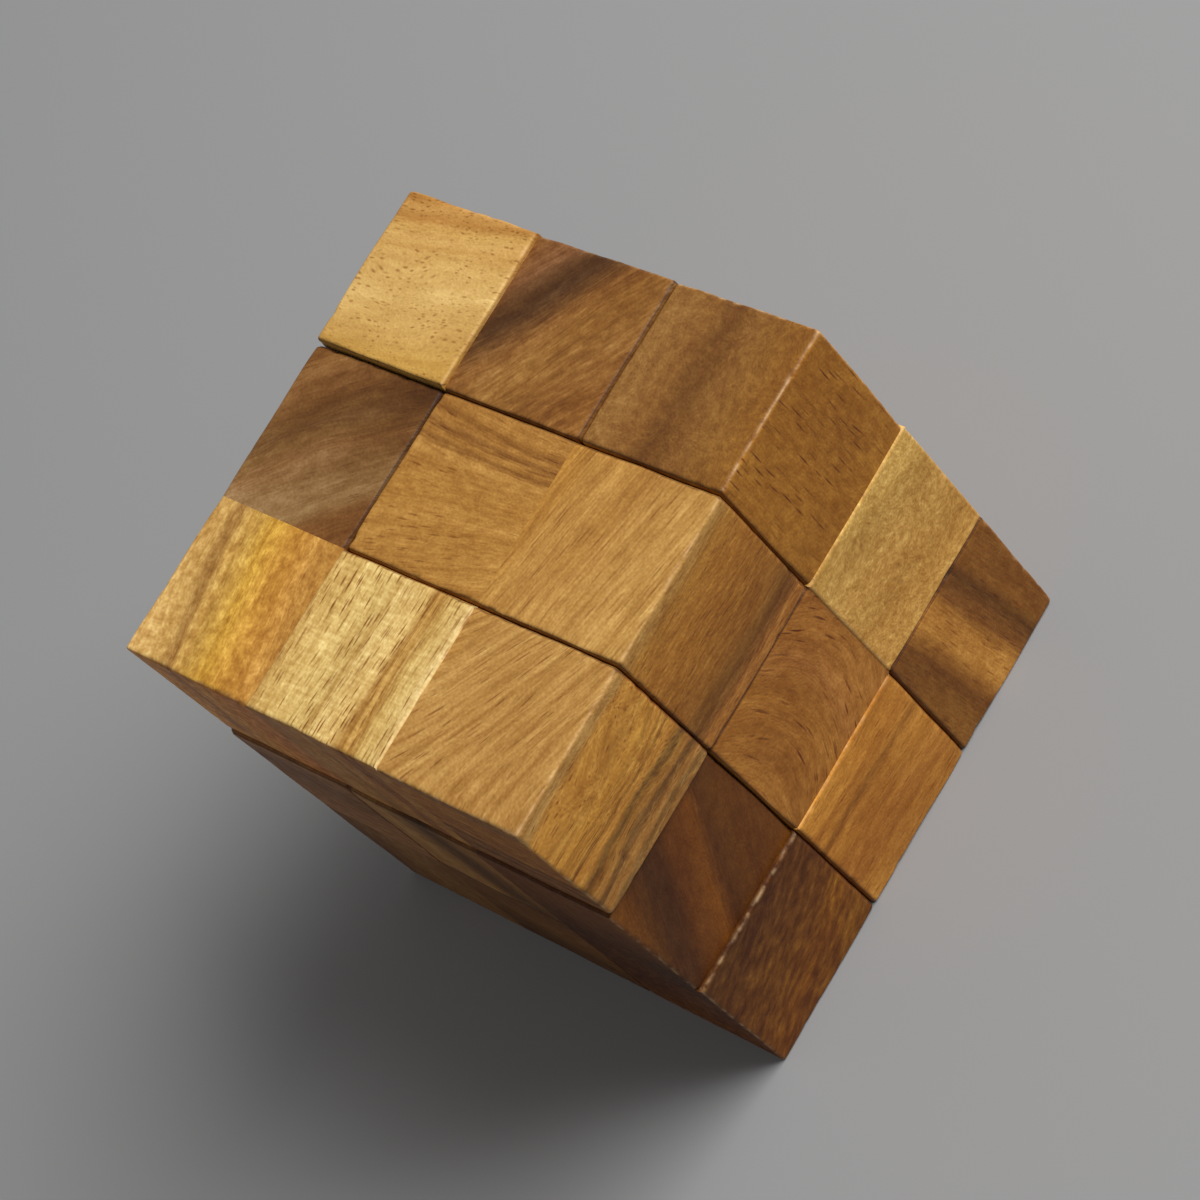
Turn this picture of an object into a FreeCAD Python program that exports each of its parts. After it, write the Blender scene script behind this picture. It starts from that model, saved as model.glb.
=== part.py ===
import FreeCAD, Part
import os

# A wooden block puzzle. Twenty-seven unit blocks are glued, face to face, into seven
# pieces, and the seven pieces pack into a cube three blocks along each side.
# Millimetres, +Z up. The cube stands on its base at Z = 0, with the origin under its
# middle. Columns run along +X, rows along +Y from the front, and layers up from the base.

# Driving dimensions
block_size = 20.0        # edge of a unit block, and the pitch of the cube
piece_clearance = 0.2    # gap between the faces of two neighbouring pieces
ease_radius = 0.4        # rounding of every free edge, sanded after gluing
proud_step = 0.7         # how far the pale corner block stands out of the top
sunk_step = 0.6          # how far one dark block lies behind the front
bar_step = 0.4           # how far the long bar of the ell lies inside the left side
slight_step = 0.2        # the smaller steps that hand gluing leaves between blocks

# The assembled cube, layer by layer from the base up. A layer's first line is its front
# row, and a line names the pieces from left to right. Neighbouring blocks of one piece
# are glued. A piece's blocks are numbered in the order in which they stand here.
layers = [
    ["vee     zed           tee",
     "tripod  tee           tee",
     "tripod  tripod        tee"],
    ["vee     zed           zed",
     "vee     middle_screw  middle_screw",
     "tripod  corner_screw  corner_screw"],
    ["ell     middle_screw  zed",
     "ell     middle_screw  corner_screw",
     "ell     ell           corner_screw"],
]

# How far a block's outer side stands out of the cube's face, or lies behind it
side_steps = {
    "corner_screw_block_4": {"top": proud_step},
    "corner_screw_block_2": {"back": -slight_step},
    "ell_block_1": {"left": -bar_step},
    "ell_block_2": {"left": -bar_step, "top": slight_step},
    "ell_block_3": {"left": -bar_step},
    "vee_block_2": {"front": -sunk_step},
    "zed_block_2": {"front": -slight_step},
    "zed_block_4": {"front": -slight_step, "right": -slight_step},
    "tee_block_3": {"right": -slight_step},
    "tripod_block_4": {"back": -slight_step},
}

# Each side of a block, with the axis that it faces along: below the middle, then above
axes = [("left", "right"), ("front", "back"), ("base", "top")]


def read_layers():
    """The piece at each cell (column, row, layer), in the order of the layers."""
    piece_at = {}
    for layer, rows in enumerate(layers):
        for row, line in enumerate(rows):
            for column, piece in enumerate(line.split()):
                piece_at[column, row, layer] = piece
    return piece_at


def cell_beside(cell, axis, above):
    """The next cell along an axis, above or below this one."""
    beside = list(cell)
    beside[axis] += 1 if above else -1
    return tuple(beside)


def side_shift(node, cell, axis, above):
    """How far a side lies outside its cell: less than nothing where it is set back."""
    beside = piece_at.get(cell_beside(cell, axis, above))
    if beside is None:
        return side_steps.get(node, {}).get(axes[axis][above], 0.0)
    return 0.0 if beside == piece_at[cell] else -piece_clearance / 2


def edge_is_free(edge, low, high, glued):
    """Whether an edge of the block lies on none of the block's glued sides."""
    lowest = edge.BoundBox.XMin, edge.BoundBox.YMin, edge.BoundBox.ZMin
    highest = edge.BoundBox.XMax, edge.BoundBox.YMax, edge.BoundBox.ZMax
    for axis, above in glued:
        middle = (low[axis] + high[axis]) / 2
        if (lowest[axis] > middle) if above else (highest[axis] < middle):
            return False
    return True


def make_block(node, cell):
    """A unit block: free edges are eased, and those of glued sides stay sharp."""
    half_cube = len(layers) * block_size / 2
    low = [cell[0] * block_size - half_cube, cell[1] * block_size - half_cube, cell[2] * block_size]
    high = [value + block_size for value in low]
    glued = []
    for axis in range(len(axes)):
        low[axis] -= side_shift(node, cell, axis, False)
        high[axis] += side_shift(node, cell, axis, True)
        for above in (False, True):
            if piece_at.get(cell_beside(cell, axis, above)) == piece_at[cell]:
                glued.append((axis, above))
    span = [top - bottom for bottom, top in zip(low, high)]
    block = Part.makeBox(*span, FreeCAD.Vector(*low))
    free_edges = [edge for edge in block.Edges if edge_is_free(edge, low, high, glued)]
    return block.makeFillet(ease_radius, free_edges)


piece_at = read_layers()
blocks_made = dict.fromkeys(piece_at.values(), 0)
os.makedirs("parts", exist_ok=True)
for cell, piece in piece_at.items():
    blocks_made[piece] += 1
    node = f"{piece}_block_{blocks_made[piece]}"
    make_block(node, cell).exportStep(f"parts/{node}.step")
    print(node, "at column, row, layer", cell)
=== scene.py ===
import math

import bpy
import numpy as np
from mathutils import Matrix, Vector


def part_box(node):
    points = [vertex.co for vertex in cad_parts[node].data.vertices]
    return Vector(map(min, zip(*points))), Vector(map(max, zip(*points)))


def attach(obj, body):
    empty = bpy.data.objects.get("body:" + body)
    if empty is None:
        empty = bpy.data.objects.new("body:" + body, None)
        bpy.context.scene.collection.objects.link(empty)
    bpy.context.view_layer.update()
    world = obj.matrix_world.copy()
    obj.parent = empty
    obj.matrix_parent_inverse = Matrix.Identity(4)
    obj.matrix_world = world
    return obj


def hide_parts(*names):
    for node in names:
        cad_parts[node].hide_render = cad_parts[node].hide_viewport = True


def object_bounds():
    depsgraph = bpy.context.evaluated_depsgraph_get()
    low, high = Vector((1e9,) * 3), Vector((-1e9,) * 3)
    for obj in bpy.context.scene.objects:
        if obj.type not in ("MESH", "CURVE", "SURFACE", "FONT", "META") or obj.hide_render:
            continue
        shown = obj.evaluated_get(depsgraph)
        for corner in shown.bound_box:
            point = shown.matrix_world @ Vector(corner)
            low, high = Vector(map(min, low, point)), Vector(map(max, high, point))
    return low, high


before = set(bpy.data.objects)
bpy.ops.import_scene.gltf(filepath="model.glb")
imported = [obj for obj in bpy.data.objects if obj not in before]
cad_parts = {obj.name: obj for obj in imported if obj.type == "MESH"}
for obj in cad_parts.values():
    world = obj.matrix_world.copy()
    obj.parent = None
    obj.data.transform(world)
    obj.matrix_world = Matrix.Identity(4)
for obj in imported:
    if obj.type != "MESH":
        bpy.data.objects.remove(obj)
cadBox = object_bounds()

# A cube puzzle of twenty-seven wooden unit blocks, glued into seven loose pieces.
# The cube lies flat: +Z is the side with the pale corner block, -Y the front.

mm = 0.001


def linearColour(hexColour):
    # sRGB hex to the linear red, green, blue, alpha that the nodes take
    parts = [int(hexColour[i:i + 2], 16) / 255 for i in (0, 2, 4)]
    return [c / 12.92 if c <= 0.04045 else ((c + 0.055) / 1.055) ** 2.4 for c in parts] + [1.0]


def addNode(tree, kind, settings=None, inputs=None):
    # one node, with its settings and with each input linked to a socket or set to a value
    node = tree.nodes.new(kind)
    for name, value in (settings or {}).items():
        setattr(node, name, value)
    for name, value in (inputs or {}).items():
        if isinstance(value, bpy.types.NodeSocket):
            tree.links.new(value, node.inputs[name])
        else:
            node.inputs[name].default_value = value
    return node


def mathOf(tree, operation, *values):
    return addNode(tree, "ShaderNodeMath", {"operation": operation}, dict(enumerate(values))).outputs[0]


def vectorOf(tree, operation, *values):
    return addNode(tree, "ShaderNodeVectorMath", {"operation": operation}, dict(enumerate(values))).outputs[0]


def rangeOf(tree, value, start, end, low, high, kind="LINEAR"):
    # low where the value is at start or before, high where it is at end or past it
    return addNode(tree, "ShaderNodeMapRange", {"interpolation_type": kind}, {
        "Value": value, "From Min": start, "From Max": end, "To Min": low, "To Max": high}).outputs[0]


def mixOf(tree, blend, factor, colour, other):
    return addNode(tree, "ShaderNodeMix", {"data_type": "RGBA", "blend_type": blend}, {
        "Factor": factor, 6: colour, 7: other}).outputs[2]


# The wood is one tropical hardwood, monkeypod: streaky heartwood and pale sapwood, sawn
# into blocks, sanded and oiled. Every block was cut its own way, so each has its own look.
# grain: the way the fibres run. layers: the way across the growth layers.
# colours: what is met across the layers, in mm from the block's middle.
# bend and fan curve the layers, spread splays the fibres, and wander (mm) makes them wavy.
# streaks, fibres, mottle, clouds, ripples, grit and pores are strengths, and drift is how much
# darker the wood gets per mm along the grain. Widths, depths, lengths, gaps and sizes are in mm.
woodDefaults = {
    "wander": 1.6, "bend": 0.0, "fan": 0.0, "spread": 0.0, "streaks": 0.3, "streakWidth": 1.4,
    "streakDepth": 4.0, "fibres": 0.2, "mottle": 0.3, "mottleSize": 1.0, "mottleStretch": 1.7, "drift": 0.0,
    "clouds": 0.35, "ripples": 0.0, "pores": 0.6, "poreLength": 4.0, "poreGap": 0.5, "poreSize": 0.32,
    # how pale the outer arrises get: wear together with a painted highlight
    "grit": 0.18, "endShade": 0.35, "endColour": "E0BC95", "rubAndHighlight": 0.3,
}

tee = {
    "block_1": {"grain": (0.14, 0, -0.99), "layers": (0.99, 0, 0.14), "wander": 1.3, "pores": 0.5,
                "clouds": 0.4, "mottle": 0.35, "streaks": 0.3,
                "colours": [(-11, "8D5A28"), (-6.4, "865525"), (-4.8, "7A4920"), (-3.6, "A76E30"),
                            (-2.4, "C78A3F"), (-0.4, "C98A3F"), (0.9, "AD7231"), (2.2, "895528"),
                            (3.8, "7B4C23"), (4.8, "643D1C"), (6.2, "8A5625"), (11, "905C28")]},
    "block_2": {"grain": (0, 1, 0.1), "layers": (1, 0, 0.3),
                "colours": [(-10, "B07B3C"), (0, "A3703A"), (9, "BA8744")]},
    "block_3": {"grain": (1, 0.1, 0), "layers": (0, 0.6, 0.8),
                "colours": [(-10, "8F5F33"), (-2, "7A4E2A"), (3, "9A6A38"), (10, "85562D")]},
    "block_4": {"grain": (0, 0.2, 1), "layers": (1, 0.4, 0),
                "colours": [(-10, "7B4E2A"), (0, "8A5A30"), (5, "6A4326"), (10, "87582F")]},
}
zed = {
    "block_1": {"grain": (1, 0, 0), "layers": (0, 0.1, 1), "wander": 2.6, "pores": 0.6, "clouds": 0.5,
                "mottle": 0.28, "fibres": 0.15,
                "colours": [(-10, "B77833"), (-8, "AF702E"), (-4, "BD7B35"), (-1, "B4732E"),
                            (1.6, "BE7C34"), (2.6, "A16729"), (3.4, "BE7C33"), (5, "BD7931"),
                            (7.5, "CD8938"), (10, "D48E3B")]},
    "block_2": {"grain": (0, 0, 1), "layers": (1, 0, 0), "bend": 0.03, "streaks": 0.25, "wander": 2.0,
                "fibres": 0.2, "mottle": 0.35, "pores": 1.0, "poreLength": 6.5, "poreGap": 0.62,
                "colours": [(-9, "AD7132"), (-5, "A1662C"), (-2, "A86C2F"), (1, "A1662B"), (4, "B17338"),
                            (7, "AD7032"), (12, "AD7134")]},
    "block_3": {"grain": (0.55, 1, 0.2), "layers": (0.3, 0, 1), "mottle": 0.48, "mottleSize": 0.75,
                "streaks": 0.2, "pores": 0.5, "endShade": 0.0,
                "colours": [(-10, "DAA454"), (-4, "D49C4E"), (0, "CB964B"), (4, "D19C50"), (8.6, "C6964D"),
                            (10, "D0A052")]},
    "block_4": {"grain": (0, 0, 1), "layers": (0, 1, 0), "streaks": 0.12, "pores": 0.9, "poreLength": 6.0,
                "poreGap": 0.45, "mottle": 0.45, "fibres": 0.12, "clouds": 0.25, "endShade": 0.42,
                "endColour": "898AED", "rubAndHighlight": 0.6,
                "colours": [(-10, "A36A29"), (-4, "A16D2F"), (-1.6, "9D6930"), (-0.4, "8E5E2A"),
                            (0.9, "855528"), (2.2, "8C5C2A"), (3.6, "9F6A30"), (8, "AB7737")]},
}
vee = {
    "block_1": {"grain": (0.85, -0.3, 0.3), "layers": (0.3, 0, -0.95), "mottle": 1.0, "mottleSize": 0.85,
                "mottleStretch": 3.0, "clouds": 0.55, "pores": 0.2, "rubAndHighlight": 0.45,
                "colours": [(-10, "5A3413"), (-4, "643916"), (0, "6D3F17"), (5, "804B1D"), (10, "79481D")]},
    "block_2": {"grain": (0.38, 0, 0.92), "layers": (0.92, 0, -0.38), "wander": 1.2, "pores": 0.1,
                "streaks": 0.12, "fibres": 0.18, "mottle": 0.3, "clouds": 0.4,
                "colours": [(-11, "744214"), (-8, "5C3512"), (-6, "4D2C0F"), (-4.4, "4F2C0D"),
                            (-2.6, "683914"), (0.8, "784317"), (2.8, "5A3212"), (4.4, "663B16"),
                            (11, "744219")]},
    "block_3": {"grain": (0.2, 0.3, 1), "layers": (0, 1, -0.3),
                "colours": [(-10, "94622F"), (-4, "5F3E22"), (-1, "7A5029"), (3, "B07E45"), (10, "A87541")]},
}
tripod = {
    "block_1": {"grain": (0, 1, 0.2), "layers": (0.3, 0, 1),
                "colours": [(-10, "6B4425"), (0, "80532C"), (10, "724828")]},
    "block_2": {"grain": (0.2, 0, 1), "layers": (0, 1, 0.2),
                "colours": [(-10, "8A5C32"), (0, "9C6B3A"), (10, "7E522D")]},
    "block_3": {"grain": (1, 0, 0.1), "layers": (0, 0.5, 1),
                "colours": [(-10, "AE7C40"), (-2, "B98845"), (3, "A06F39"), (10, "B7853F")]},
    "block_4": {"grain": (0.1, 1, 0), "layers": (0, 0.2, 1),
                "colours": [(-10, "A56F43"), (0, "9A653A"), (4, "7F522F"), (10, "A06C40")]},
}
middleScrew = {
    "block_1": {"grain": (0, 1, 0), "layers": (1, 0, 0),
                "colours": [(-10, "8F6032"), (10, "A57239")]},
    "block_2": {"grain": (0, 0.1, 1), "layers": (0.2, 1, 0),
                "colours": [(-10, "A8743A"), (-2, "B58142"), (4, "9A6935"), (10, "AD7A3E")]},
    "block_3": {"grain": (1, -0.2, 0), "layers": (0, -0.1, 1), "pores": 0.5, "poreLength": 5.0,
                "poreGap": 0.42, "poreSize": 0.4, "wander": 1.0, "mottle": 0.2, "clouds": 0.25,
                "fibres": 0.35, "streaks": 0.4, "streakWidth": 0.9, "streakDepth": 1.2, "rubAndHighlight": 0.5,
                "colours": [(-9.5, "B17639"), (-7.4, "AD7136"), (-6.4, "8A582C"), (-5.2, "7A4D25"),
                            (-4, "875829"), (-2.6, "955F2A"), (1, "A1682C"), (5, "AD7231"), (8.4, "B47C37"),
                            (9.2, "B27F3F"), (10, "B78647"), (11, "C0924F")]},
    "block_4": {"grain": (0.1, -1, 0), "layers": (1, 0.1, 0), "pores": 0.6, "poreLength": 3.6,
                "poreGap": 0.45, "wander": 1.0, "fan": 0.022, "mottle": 0.35, "clouds": 0.25,
                "colours": [(-10, "AF7C3D"), (0, "AE7B3C"), (3.8, "AF7C3E"), (4.5, "8A5B2D"),
                            (5.2, "AF7C3E"), (6.1, "84552B"), (6.9, "AB783C"), (7.7, "8F5F2F"),
                            (8.5, "AB783C")]},
}
cornerScrew = {
    "block_1": {"grain": (1, 0, 0.2), "layers": (0, 1, 0.2),
                "colours": [(-10, "9C6A37"), (0, "AD7A3F"), (10, "8E5E31")]},
    "block_2": {"grain": (0.1, 1, 0), "layers": (1, 0, 0.4),
                "colours": [(-10, "B98A4A"), (0, "C79850"), (4, "B07E40"), (10, "C29049")]},
    "block_3": {"grain": (-0.8, 0.6, 0), "layers": (0.6, 0.8, 0), "pores": 0.35, "poreLength": 2.6,
                "mottle": 0.5, "streaks": 0.45, "fibres": 0.3, "wander": 2.4, "clouds": 0.45,
                "colours": [(-14, "966332"), (-9, "8B5C30"), (-4, "906233"), (-1, "906232"), (2, "885A30"),
                            (3.8, "6C472A"), (5.4, "523625"), (7.4, "5A3B26"), (9.6, "7A5033"),
                            (13, "80532E")]},
    "block_4": {"grain": (0.1, -0.9, -0.45), "layers": (1, 0.16, 0), "pores": 0.65, "poreLength": 3.0,
                "poreSize": 0.4, "streaks": 0.22, "mottle": 0.12, "clouds": 0.16, "fibres": 0.08,
                "grit": 0.1, "wander": 2.2,
                "colours": [(-9, "C89A4E"), (-6, "D0A45D"), (-1, "DDB46D"), (3, "D6AA63"), (4.6, "CE9F59"),
                            (5.6, "DAAD66"), (7.0, "CFA159"), (8.2, "B78142"), (9.6, "C89552"),
                            (11, "B27C3C")]},
}
ell = {
    "block_1": {"grain": (0.87, -0.49, 0), "layers": (0, -0.1, 1), "streaks": 0.6, "streakWidth": 0.9,
                "streakDepth": 0.9, "endShade": 0.7, "endColour": "C9A68A", "spread": 0.03, "bend": 0.004,
                "wander": 2.6, "poreLength": 6.0, "poreGap": 0.42, "fibres": 0.2, "pores": 0.7,
                "mottle": 0.12, "clouds": 0.25, "rubAndHighlight": 0.5,
                "colours": [(-9, "AA773E"), (-8, "845E33"), (-7, "B27B3E"), (-6.2, "A6733A"),
                            (-5.2, "75512D"), (-4.4, "B27B3C"), (-3.4, "A87435"), (-2.6, "77532A"),
                            (-1.6, "C88B3F"), (-0.6, "CE9041"), (0, "98672C"), (0.6, "C98B3E"),
                            (1.3, "A56F2E"), (1.9, "CA8B3D"), (2.5, "AE7833"), (3.1, "CE903D"),
                            (5, "C48A3E"), (7.6, "CC8E3E"), (8.4, "C68B41"), (9.1, "B58547"), (13, "B78749")]},
    "block_2": {"grain": (1, 0, 0), "layers": (0, 1, 0), "endShade": 1.0, "endColour": "D4AE89",
                "pores": 1.0, "poreLength": 3.2, "poreGap": 0.38, "poreSize": 0.46, "ripples": 0.26,
                "streaks": 0.35, "streakWidth": 0.9, "mottle": 0.2,
                "colours": [(-10, "E3C07C"), (-8.4, "DCB870"), (-7, "D2AA62"), (-6, "AE7D3D"),
                            (-5.4, "D1A35A"), (-4.8, "AB7A3D"), (-3.6, "D8B068"), (0, "D8B36D"),
                            (0.8, "BE9552"), (1.8, "DBB870"), (6, "DFBA70"), (10, "D4AA62")]},
    "block_3": {"grain": (1, 0.15, 0), "layers": (-0.15, 1, 0), "streaks": 0.35, "wander": 3.0,
                "pores": 0.3, "mottle": 0.62, "mottleSize": 0.95, "mottleStretch": 1.2, "clouds": 0.3,
                "endShade": 1.0, "endColour": "FFD8AA",
                "colours": [(-10, "C89249"), (-8, "CC9348"), (-6, "C48A3E"), (-4, "CF9641"),
                            (-0.6, "D4A142"), (2, "D4A856"), (3.4, "D4A659"), (4.6, "B3864A"),
                            (5.7, "B78A4D"), (6.8, "CEA15A"), (10, "DDAF68")]},
    "block_4": {"grain": (0.6, -0.8, 0), "layers": (0.8, 0.6, 0), "pores": 0.35, "streaks": 0.38,
                "streakWidth": 1.3, "wander": 3.0, "fibres": 0.2, "clouds": 0.8, "bend": 0.006,
                "mottle": 0.35, "drift": 0.024,
                "colours": [(-12, "7A4F2C"), (-9.4, "764C2B"), (-7.4, "86623C"), (-3, "8C6741"),
                            (-0.5, "89613C"), (1.2, "7C5733"), (2.4, "6C492C"), (3.8, "6A4729"),
                            (5.2, "744E2E"), (6.6, "7C5330"), (11, "7E532E")]},
}
pieces = {
    "tee": tee, "zed": zed, "vee": vee, "tripod": tripod,
    "middle_screw": middleScrew, "corner_screw": cornerScrew, "ell": ell,
}

# What all the blocks share. Three numbers are sizes in mm along the grain, across the
# growth layers and in the third direction.
figure = {
    "rampSpan": 30.0,                # mm of growth layers that a block's colour ramp covers
    "raggedBorders": 1.2,            # mm, how far the fibres roughen the borders of the layers
    "waveSize": (28, 9, 9),
    "streakLength": 40,
    "fibreSize": (3.5, 0.3, 0.3),
    "cloudSize": (16, 7, 7),
    "rippleSize": (0.5, 3.0, 3.0),
    "gritSize": (0.34, 0.28, 0.28),
    "crowdSize": (12, 3, 3),         # groups of pores
    "seedStep": 900,                 # keeps the patterns of two blocks apart
    "toneDepth": (1.0, 1.4, 2.1),    # darker wood is also redder and richer
    "sheenAdds": (0.002, 0.005, 0.010),   # what the sheen adds to every colour, taken off beforehand
    "sheenLimit": 0.2,               # but this share of a colour stays
    "endGrain": (0.5, 0.9),          # how squarely a face cuts the fibres, from where to where it shows
    "poreEdge": 0.08,                # a pore is fully dark within this share of its gap
    "poreCrowds": (0.38, 0.58),      # between the noise levels, pores go from sparse to crowded
    "sparsePores": 0.35,
    "endPores": -0.6,                # change of the pores' strength on end grain
    "poreColour": "A47845",
    "rubAndHighlightPatches": (0.42, 0.62), "rubAndHighlightScale": 0.7,
    "rubAndHighlightColour": "E8C08C",        # where hands have rubbed the outer arrises: pale wear together with a painted highlight
    "seamGrimeAndShade": 0.75, "seamGrimeAndShadeColour": "4A2E18",   # dirt that gathers in the seams, together with painted shade there
    "roughness": (0.45, 0.62), "sheenPatches": (0.3, 0.7),
    "relief": 0.08, "reliefStrength": 0.4,    # mm of bump
    "ior": 1.48, "specular": 0.3,
}
noiseKind = "ShaderNodeTexNoise"


def woodSpace(tree, place, centre, grain, seedShift, look):
    # mm from the block's middle, along the grain, across the layers and in the third direction:
    # first straight, then as the waves and bends of the wood have them
    across = Vector(look["layers"])
    across = (across - grain * across.dot(grain)).normalized()
    turn = Matrix([grain, across, grain.cross(across)]).transposed()
    straight = addNode(tree, "ShaderNodeMapping", {"vector_type": "TEXTURE"}, {
        "Vector": place, "Location": centre, "Rotation": turn.to_euler(), "Scale": [mm] * 3}).outputs[0]
    slow = vectorOf(tree, "MULTIPLY_ADD", straight, [1 / size for size in figure["waveSize"]], seedShift)
    wave = addNode(tree, noiseKind, None, {"Vector": slow, "Scale": 1.0, "Detail": 2.0})
    wander = look["wander"]
    waved = vectorOf(tree, "MULTIPLY_ADD", wave.outputs["Color"], (0, wander * 2, wander * 2), straight)
    along, second, third = addNode(tree, "ShaderNodeSeparateXYZ", None, {0: waved}).outputs
    # layer = second * (1 + fan * along) - wander + bend * along * along
    fan = mathOf(tree, "MULTIPLY_ADD", along, look["fan"], 1.0)
    fanned = mathOf(tree, "MULTIPLY_ADD", second, fan, -wander)
    squared = mathOf(tree, "MULTIPLY", along, along)
    layer = mathOf(tree, "MULTIPLY_ADD", squared, look["bend"], fanned)
    # deep = third * (1 + spread * along)
    spread = mathOf(tree, "MULTIPLY_ADD", along, look["spread"], 1.0)
    deep = mathOf(tree, "MULTIPLY", third, spread)
    wood = addNode(tree, "ShaderNodeCombineXYZ", None, {0: along, 1: layer, 2: deep}).outputs[0]
    return straight, along, layer, wood


def woodPatterns(tree, wood, seedShift, look):
    # each pattern is a texture whose grains are so many mm long in the wood's three directions
    def pattern(sizes, detail, output="Fac", kind=noiseKind):
        scaled = vectorOf(tree, "MULTIPLY_ADD", wood, [1 / size for size in sizes], seedShift)
        return addNode(tree, kind, None, {"Vector": scaled, "Scale": 1.0, **detail}).outputs[output]

    poreGap, mottleSize = look["poreGap"], look["mottleSize"]
    return {
        "streaks": pattern((figure["streakLength"], look["streakWidth"], look["streakDepth"]), {"Detail": 3.0}),
        "fibres": pattern(figure["fibreSize"], {"Detail": 1.0}),
        "mottle": pattern([mottleSize * k for k in (look["mottleStretch"], 1, 1)], {"Detail": 2.0}),
        "clouds": pattern(figure["cloudSize"], {"Detail": 2.0}),
        "ripples": pattern(figure["rippleSize"], {"Detail": 1.0}),
        "grit": pattern(figure["gritSize"], {"Detail": 0.0}),
        "pores": pattern((look["poreLength"], poreGap, poreGap), {"Randomness": 1.0}, "Distance",
                         "ShaderNodeTexVoronoi"),
        "crowds": pattern(figure["crowdSize"], {"Detail": 1.0}),
    }


def layerColour(tree, layer, fibres, look):
    # the colour ramp across the layers, its borders roughened by the fibres
    span, ragged = figure["rampSpan"], figure["raggedBorders"]
    place = mathOf(tree, "MULTIPLY_ADD", layer, 1 / span, 0.5 - 0.5 * ragged / span)
    place = mathOf(tree, "MULTIPLY_ADD", fibres, ragged / span, place)
    ramp = addNode(tree, "ShaderNodeValToRGB", None, {"Fac": place})
    stops = ramp.color_ramp.elements
    while len(stops) < len(look["colours"]):
        stops.new(0.5)
    for stop, (distance, colour) in zip(stops, sorted(look["colours"])):
        stop.position = distance / span + 0.5
        parts = zip(linearColour(colour), figure["sheenAdds"])
        stop.color = [max(c - sheen, c * figure["sheenLimit"]) for c, sheen in parts] + [1.0]
    return ramp.outputs["Color"]


def toned(tree, colour, along, patterns, look):
    # the patterns add up to x = drift * along + the sum of strength * (2 * pattern - 1), and the
    # colour is scaled by e to the power -x in red and by steeper powers in green and blue
    names = ("streaks", "fibres", "mottle", "clouds", "grit", "ripples")
    tone = mathOf(tree, "MULTIPLY_ADD", along, look["drift"], 1.0 - sum(look[name] for name in names))
    for name in names:
        tone = mathOf(tree, "MULTIPLY_ADD", patterns[name], look[name] * 2, tone)
    depth = addNode(tree, "ShaderNodeGamma", None, {
        "Color": [math.exp(-k) for k in figure["toneDepth"]] + [1.0], "Gamma": tone})
    deepened = vectorOf(tree, "MULTIPLY", colour, depth.outputs["Color"])
    return vectorOf(tree, "MULTIPLY", deepened, [math.exp(k) for k in figure["toneDepth"]])


def openPores(tree, patterns, endGrain, look):
    # short dark dashes along the grain, fainter dots on the end grain
    opened = rangeOf(tree, patterns["pores"], figure["poreEdge"], look["poreSize"], 1.0, 0.0, "SMOOTHSTEP")
    crowded = rangeOf(tree, patterns["crowds"], *figure["poreCrowds"],
                      look["pores"] * figure["sparsePores"], look["pores"])
    dash = mathOf(tree, "MULTIPLY", opened, crowded)
    fainter = mathOf(tree, "MULTIPLY_ADD", endGrain, figure["endPores"], 1.0)
    return mathOf(tree, "MULTIPLY", dash, fainter)


def wearAndPaintedLight(tree, colour, straight, look):
    # outer arrises are rubbed pale here and there, partly wear and partly painted highlight, and those along
    # the seams are darkened with grime and painted shade
    arris = addNode(tree, "ShaderNodeAttribute", {"attribute_name": "arris"}).outputs["Fac"]
    patches = addNode(tree, noiseKind, None, {
        "Vector": straight, "Scale": figure["rubAndHighlightScale"], "Detail": 3.0}).outputs["Fac"]
    rubAndHighlight = rangeOf(tree, patches, *figure["rubAndHighlightPatches"], 0.0, look["rubAndHighlight"])
    paleRubAndHighlight = addNode(tree, "ShaderNodeMath", {"operation": "MULTIPLY", "use_clamp": True}, {
        0: arris, 1: rubAndHighlight}).outputs[0]
    # pale along the outer arrises: wear together with a painted highlight
    pale = mixOf(tree, "MIX", paleRubAndHighlight, colour, linearColour(figure["rubAndHighlightColour"]))
    seam = addNode(tree, "ShaderNodeAttribute", {"attribute_name": "seam"}).outputs["Fac"]
    # darker along the seams: dirt together with painted shade
    seamGrimeAndShade = rangeOf(tree, seam, 0.0, 1.0, 0.0, figure["seamGrimeAndShade"])
    return mixOf(tree, "MULTIPLY", seamGrimeAndShade, pale, linearColour(figure["seamGrimeAndShadeColour"]))


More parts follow.
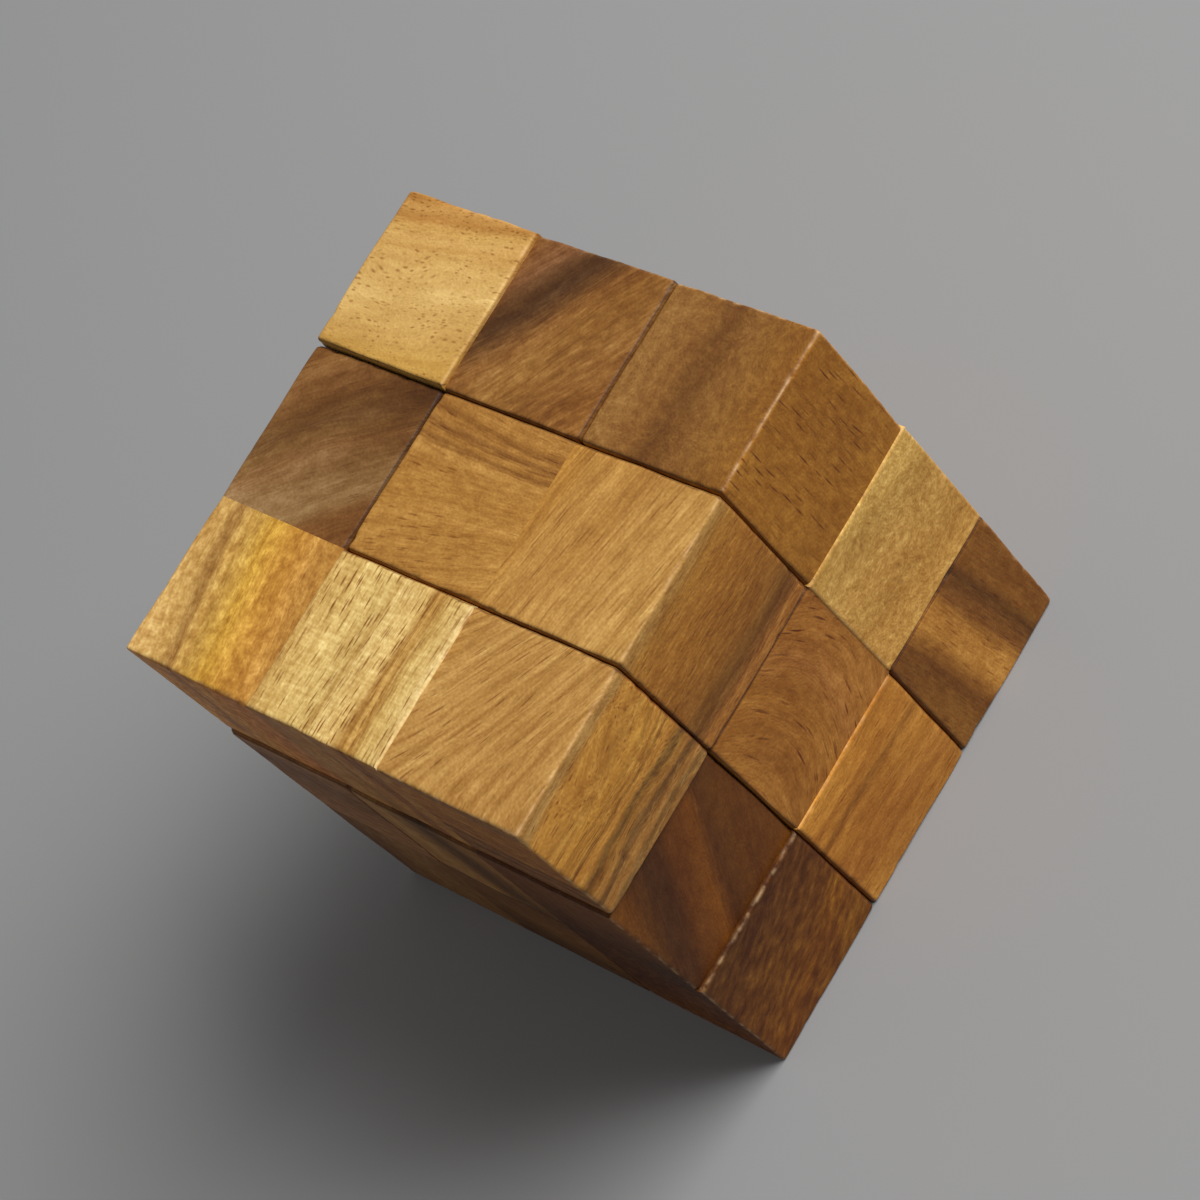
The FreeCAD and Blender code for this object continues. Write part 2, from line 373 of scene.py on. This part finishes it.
def oiledWood(name, centre, look):
    # sanded and oiled monkeypod: soft satin, with dark open pores and fibres that catch light
    look = {**woodDefaults, **look}
    material = bpy.data.materials.new(name)
    material.use_nodes = True
    tree = material.node_tree
    tree.nodes.clear()
    grain = Vector(look["grain"]).normalized()
    seedShift = [c * figure["seedStep"] for c in centre]
    spot = addNode(tree, "ShaderNodeTexCoord")
    straight, along, layer, wood = woodSpace(tree, spot.outputs["Object"], centre, grain, seedShift, look)
    patterns = woodPatterns(tree, wood, seedShift, look)
    colour = layerColour(tree, layer, patterns["fibres"], look)
    colour = toned(tree, colour, along, patterns, look)

    facing = addNode(tree, "ShaderNodeVectorMath", {"operation": "DOT_PRODUCT"}, {
        0: spot.outputs["Normal"], 1: grain}).outputs["Value"]
    squarely = mathOf(tree, "ABSOLUTE", facing)
    endGrain = rangeOf(tree, squarely, *figure["endGrain"], 0.0, 1.0, "SMOOTHSTEP")
    endDark = mathOf(tree, "MULTIPLY", endGrain, look["endShade"])
    colour = mixOf(tree, "MULTIPLY", endDark, colour, linearColour(look["endColour"]))
    pores = openPores(tree, patterns, endGrain, look)
    colour = mixOf(tree, "MULTIPLY", pores, colour, linearColour(figure["poreColour"]))
    colour = wearAndPaintedLight(tree, colour, straight, look)

    roughness = rangeOf(tree, patterns["mottle"], *figure["sheenPatches"], *figure["roughness"])
    relief = mathOf(tree, "MULTIPLY_ADD", patterns["mottle"], look["mottle"], patterns["fibres"])
    relief = mathOf(tree, "ADD", relief, patterns["grit"])
    relief = mathOf(tree, "SUBTRACT", relief, pores)
    bump = addNode(tree, "ShaderNodeBump", None, {
        "Strength": figure["reliefStrength"], "Distance": figure["relief"] * mm, "Height": relief})
    shader = addNode(tree, "ShaderNodeBsdfPrincipled", None, {
        "Base Color": colour, "Roughness": roughness, "IOR": figure["ior"],
        "Specular IOR Level": figure["specular"], "Normal": bump.outputs[0]})
    addNode(tree, "ShaderNodeOutputMaterial", None, {"Surface": shader.outputs[0]})
    return material


# The shape of a block, in mm: its faces stay flat, and sanding and use round its arrises unevenly
blockShape = {
    "band": 1.8,           # at each end of an edge, where the grid is fine
    "fineSteps": 9,
    "coarseSteps": 32,
    "radius": 0.38,        # mean rounding of an arris
    "radiusLimits": (0.22, 1.2),
    "unevenness": 0.35, "unevenSize": 9,   # share of the radius that comes and goes along an arris
    "nicks": 0.9, "nickSize": 2.0, "nickDepth": 0.45,   # small chips, only where the noise is past the depth
    "cornerWear": 0.35, "cornerReach": 2.0,   # extra rounding where three arrises meet
    "ledge": 0.3,          # rounding where a glued neighbour is set back
    "ledgePaintedHighlight": (1.15, 0.4),   # its painted highlight line: strength on the arris, and how far it reaches
    "warp": 0.04, "warpSize": 14,   # slow unevenness of the sanded faces
}
halfRound = 0.41   # how much longer an offset is than its largest part, halfway round an arris
# what counts as a glued side, as a ledge and as the outside of the cube, in mm
touching = {"overlap": 5, "apart": 0.05, "ledge": (0.15, 1), "outside": 1}


def softNoise(points, size, seed):
    # a sum of sine waves that run in random directions, from about -1 to 1, size mm a wave
    waves, reach = 7, 3.7
    draw = np.random.default_rng(seed)
    total = np.zeros(points.shape[:-1])
    for _ in range(waves):
        way = draw.normal(size=3)
        way *= 2 * math.pi / (size * np.linalg.norm(way)) * draw.uniform(0.7, 1.5)
        total += np.sin(points @ way + draw.uniform(0, 2 * math.pi))
    return total / reach


def gridMarks(length):
    # distances along an edge: fine near both ends, coarse between them
    band, fine = blockShape["band"], blockShape["fineSteps"]
    ends = band * np.linspace(0, 1, fine + 1)[:-1]
    middle = np.linspace(band, length - band, blockShape["coarseSteps"] + 1)
    return np.concatenate([ends, middle, length - ends[::-1]])


def boxGrid(low, high):
    # the points of a grid on a box's six sides, and its faces, turned outwards
    marks = [gridMarks(high[a] - low[a]) + low[a] for a in range(3)]
    last = len(marks[0]) - 1
    steps = np.arange(last + 1)
    quads = []
    for axis in range(3):
        second, third = (axis + 1) % 3, (axis + 2) % 3
        for side in (0, last):
            i, j = np.meshgrid(steps[:-1], steps[:-1], indexing="ij")
            corners = []
            for di, dj in ((0, 0), (1, 0), (1, 1), (0, 1)):
                index = np.zeros(i.shape + (3,), int)
                index[..., axis] = side
                index[..., second] = i + di
                index[..., third] = j + dj
                corners.append(index)
            if side == 0:
                corners.reverse()
            quads.append(np.stack(corners, axis=2).reshape(-1, 4, 3))
    quads = np.concatenate(quads)
    keys = quads @ np.array([(last + 1) ** 2, last + 1, 1])
    keys, faces = np.unique(keys, return_inverse=True)
    index = np.stack([keys // (last + 1) ** 2, keys // (last + 1) % (last + 1), keys % (last + 1)], axis=1)
    points = np.stack([marks[a][index[:, a]] for a in range(3)], axis=1)
    return points, faces.reshape(-1, 4)


def arrisRadius(q, low, high):
    size = blockShape
    nearness = np.minimum(np.abs(q - low), np.abs(high - q))
    cornerDistance = np.linalg.norm(nearness, axis=1)
    radius = size["radius"] * (1 + size["unevenness"] * softNoise(q, size["unevenSize"], 3))
    chips = np.clip(softNoise(q, size["nickSize"], 8) - size["nickDepth"], 0, 1)
    radius += size["radius"] * size["nicks"] * chips
    radius += size["radius"] * size["cornerWear"] * np.exp(-(cornerDistance / size["cornerReach"]) ** 2)
    return np.clip(radius, *size["radiusLimits"])[:, None]


def wornBlock(low, high, free, outer, ledges):
    # Each point q of a box's surface is split into the nearest point of an inner box, set in by the
    # radius behind free sides only, and an offset d. It moves to inner + d * max|d| / length of d,
    # which turns square arrises into quarter rounds and leaves the glued sides flat. Over a ledge the
    # same is done in its own plane. arris is how far a point is round an outer arris, seam round others.
    size = blockShape
    q, faces = boxGrid(low, high)
    radius = arrisRadius(q, low, high)
    inner = np.clip(q, low + radius * free[:, 0], high - radius * free[:, 1])
    offset = q - inner
    largest = np.abs(offset).max(axis=1, keepdims=True)
    length = np.linalg.norm(offset, axis=1, keepdims=True)
    points = inner + offset * np.where(length > 0, largest / np.maximum(length, 1e-9), 1)
    rounding = np.clip((length - largest) / np.maximum(largest, 1e-9) / halfRound, 0, 1)[:, 0]
    share = np.abs(offset) / np.maximum(largest, 1e-9)
    inside = np.where(offset > 0, ~outer[:, 1], ~outer[:, 0])
    seam = rounding * np.clip((share * inside).max(axis=1) * 2, 0, 1)
    arris = rounding - seam
    # strength and reach of the painted highlight line along a ledge
    shine, reach = size["ledgePaintedHighlight"]
    for across, acrossSide, out, outSide in ledges:
        edge = np.array([(low, high)[acrossSide][across], (low, high)[outSide][out]])
        inward = np.array([1 - 2 * acrossSide, 1 - 2 * outSide])
        deep = (q[:, [across, out]] - edge) * inward
        near = size["ledge"] - deep
        cornerPoints = (near > 0).all(axis=1)
        scale = near.max(axis=1) / np.maximum(np.linalg.norm(near, axis=1), 1e-9)
        moved = edge + inward * (size["ledge"] - near * scale[:, None])
        for k, axis in enumerate((across, out)):
            points[:, axis] = np.where(cornerPoints, moved[:, k], points[:, axis])
        # the bright line along a ledge is a painted highlight, carried in arris
        arris = np.maximum(arris, np.clip(shine - np.linalg.norm(deep, axis=1) / reach, 0, 1))
    warp = [softNoise(q, size["warpSize"], seed) for seed in (11, 12, 13)]
    points += size["warp"] * np.stack(warp, axis=1)
    return points, faces, arris, seam


def blockSides(node, members):
    # free: 1 unless another block of the same piece starts in that side's plane.
    # outer: the side is on the outside of the cube. ledges: (glued axis, its side, axis, side)
    # where the glued neighbour is set back behind this block's face.
    low, high = (np.array(v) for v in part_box(node))
    free = np.ones((3, 2))
    ledges = []
    overlap, apart, outside = (touching[name] * mm for name in ("overlap", "apart", "outside"))
    leastLedge, mostLedge = (size * mm for size in touching["ledge"])
    for other in members:
        if other == node:
            continue
        otherLow, otherHigh = (np.array(v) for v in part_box(other))
        shared = np.minimum(high, otherHigh) - np.maximum(low, otherLow)
        for axis in range(3):
            if all(shared[a] > overlap for a in range(3) if a != axis) and abs(shared[axis]) < apart:
                side = 0 if otherLow[axis] < low[axis] else 1
                free[axis][side] = 0
                for out in range(3):
                    if out != axis:
                        setBack = (otherLow - low)[out], (high - otherHigh)[out]
                        ledges += [(axis, side, out, k) for k in (0, 1) if leastLedge < setBack[k] < mostLedge]
    outer = np.stack([low - np.array(cadBox[0]) < outside, np.array(cadBox[1]) - high < outside], axis=1)
    return low, high, free, outer, ledges


def buildPiece(piece, looks):
    members = [f"{piece}_{block}" for block in looks]
    for block, look in looks.items():
        node = f"{piece}_{block}"
        low, high, free, outer, ledges = blockSides(node, members)
        points, faces, arris, seam = wornBlock(low / mm, high / mm, free, outer, ledges)
        mesh = bpy.data.meshes.new(f"worn_{node}")
        mesh.from_pydata(points * mm, [], faces)
        for name, values in (("arris", arris), ("seam", seam)):
            mesh.attributes.new(name, "FLOAT", "POINT").data.foreach_set("value", values)
        mesh.polygons.foreach_set("use_smooth", [True] * len(mesh.polygons))
        mesh.set_sharp_from_angle(angle=math.radians(45))
        mesh.materials.append(oiledWood(f"oiledMonkeypod_{node}", (low + high) / 2, look))
        obj = bpy.data.objects.new(f"worn_{node}", mesh)
        bpy.context.collection.objects.link(obj)
        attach(obj, f"{piece}_piece")
        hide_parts(node)


for piece, looks in pieces.items():
    buildPiece(piece, looks)
    print("built the", piece, "piece")

# Floor and light: an even grey paper without shine, and one soft box over the right of the front
studio = {
    "floorColour": "9C9C9C", "floorSize": 6.0, "floorGap": 0.05,   # m, and mm under the cube
    "floorRoughness": 0.9, "floorSpecular": 0.1,
    "keyWay": (0.58, -0.36, 0.73), "keyDistance": 1.1, "keySize": 0.75, "keyPower": 14.8,
    "skyStrength": 0.2,
}


def addFloor():
    half = studio["floorSize"] / 2
    corners = [(-half, -half, 0), (half, -half, 0), (half, half, 0), (-half, half, 0)]
    mesh = bpy.data.meshes.new("floor")
    mesh.from_pydata(corners, [], [(0, 1, 2, 3)])
    paper = bpy.data.materials.new("mattePaperBackdrop")
    paper.use_nodes = True
    shader = paper.node_tree.nodes["Principled BSDF"]
    shader.inputs["Base Color"].default_value = linearColour(studio["floorColour"])
    shader.inputs["Roughness"].default_value = studio["floorRoughness"]
    shader.inputs["Specular IOR Level"].default_value = studio["floorSpecular"]
    mesh.materials.append(paper)
    floor = bpy.data.objects.new("floor", mesh)
    bpy.context.collection.objects.link(floor)
    floor.location.z = cadBox[0].z - studio["floorGap"] * mm


def addLight():
    world = bpy.data.worlds.new("studioWorld")
    bpy.context.scene.world = world
    world.use_nodes = True
    sky = world.node_tree.nodes["Background"]
    sky.inputs["Color"].default_value = (1, 1, 1, 1)
    sky.inputs["Strength"].default_value = studio["skyStrength"]
    lamp = bpy.data.lights.new("softbox", "AREA")
    lamp.shape = "SQUARE"
    lamp.size = studio["keySize"]
    lamp.energy = studio["keyPower"]
    key = bpy.data.objects.new("softbox", lamp)
    bpy.context.collection.objects.link(key)
    way = Vector(studio["keyWay"]).normalized()
    key.location = (cadBox[0] + cadBox[1]) / 2 + way * studio["keyDistance"]
    key.rotation_euler = (-way).to_track_quat("-Z", "Y").to_euler()


# Camera: degrees, metres, and the lens in mm
cameraPlace = {
    "azimuth": -15.95, "elevation": 48.84, "roll": -46.6,
    "distance": 0.3889, "aim": (0.0024, 0.0007, 0.0311),
    "lens": 106.1, "sensor": 36, "clipStart": 0.01,
}


def addCamera():
    data = bpy.data.cameras.new("camera")
    data.lens = cameraPlace["lens"]
    data.sensor_width = cameraPlace["sensor"]
    data.clip_start = cameraPlace["clipStart"]
    camera = bpy.data.objects.new("camera", data)
    bpy.context.collection.objects.link(camera)
    turn, rise, roll = (math.radians(cameraPlace[name]) for name in ("azimuth", "elevation", "roll"))
    back = Vector((math.sin(turn) * math.cos(rise), -math.cos(turn) * math.cos(rise), math.sin(rise)))
    camera.location = Vector(cameraPlace["aim"]) + back * cameraPlace["distance"]
    level = (-back).to_track_quat("-Z", "Y").to_matrix()
    camera.rotation_euler = (level @ Matrix.Rotation(roll, 3, "Z")).to_euler()
    bpy.context.scene.camera = camera


addFloor()
addLight()
addCamera()
bpy.context.scene.view_settings.view_transform = "Standard"
print("added the floor, the light and the camera")
